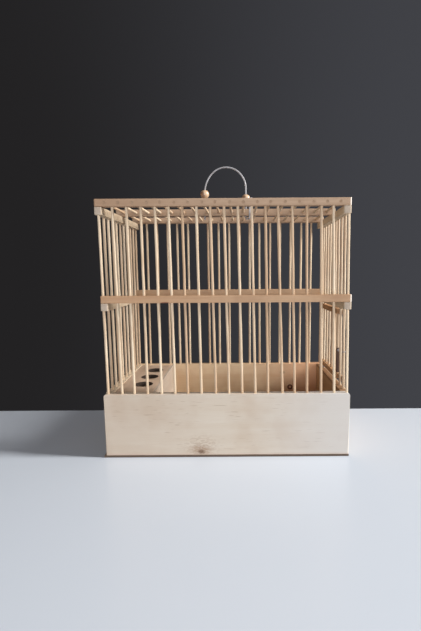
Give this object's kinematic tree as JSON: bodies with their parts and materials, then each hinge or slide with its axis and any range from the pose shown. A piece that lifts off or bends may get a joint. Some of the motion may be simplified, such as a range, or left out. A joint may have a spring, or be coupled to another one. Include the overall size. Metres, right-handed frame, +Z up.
{
  "type": "breeding cage",
  "caption": "Small wooden breeding cage: a board box under walls of round sticks in a batten frame, with a swinging side door, a feeder board with cup holes and a wire handle.",
  "frame": {"origin": "middle of the box's underside, where the cage rests, between the outer faces of its four boards", "axes": "+X to the right and +Y away from the viewer, so the front is at -Y and the door is at +X; +Z up"},
  "size_m": [0.2821, 0.156, 0.3437],
  "materials": {
    "board_wood": "bare, weathered softwood",
    "batten_wood": "bare, weathered softwood",
    "stick_wood": "bare, split and rounded",
    "ply": "stained ply",
    "dark_wood": "dark stained",
    "bead_wood": "varnished, turned",
    "wire": "dull galvanised",
    "dark_iron": "dark and tarnished"
  },
  "bodies": {
    "cage": {"floor_panel": "ply", "floor_brads": "dark_iron", "front_board": "board_wood", "back_board": "board_wood", "left_board": "board_wood", "right_board": "board_wood", "middle_left_rail": "batten_wood", "middle_right_rail": "batten_wood", "middle_front_rail": "batten_wood", "middle_back_rail": "batten_wood", "top_left_rail": "batten_wood", "top_right_rail": "batten_wood", "top_front_rail": "batten_wood", "top_middle_rail": "batten_wood", "top_back_rail": "batten_wood", "corner_sticks": "stick_wood", "front_sticks": "stick_wood", "back_sticks": "stick_wood", "left_sticks": "stick_wood", "right_sticks": "stick_wood", "right_upper_sticks": "stick_wood", "roof_sticks": "stick_wood", "feeder_board": "board_wood", "feeder_partition": "board_wood", "door_post": "stick_wood", "door_collar": "wire", "back_washer": "dark_iron", "back_screw": "dark_iron", "stick_tie": "wire"},
    "door": {"door_upper_bar": "batten_wood", "door_lower_bar": "batten_wood", "door_sticks": "stick_wood", "door_stile": "stick_wood", "button_pin": "wire"},
    "button": {"door_button": "dark_wood"},
    "handle": {"handle_wire": "wire", "handle_left_bead": "bead_wood", "handle_right_bead": "bead_wood"}
  },
  "joints": [
    {"name": "door_hinge", "type": "hinge", "parent": "cage", "child": "door", "pos_m": [0.1369, 0.04425, 0.1231], "axis": [0, 0, 1], "range_deg": [0, 155]},
    {"name": "button_turn", "type": "hinge", "parent": "door", "child": "button", "pos_m": [0.1369, -0.0331, 0.1157], "axis": [0, -1, 0], "continuous": true},
    {"name": "handle_slide", "type": "slide", "parent": "cage", "child": "handle", "axis": [0, 0, 1], "range_m": [-0.0074, 0.0014]}
  ]
}
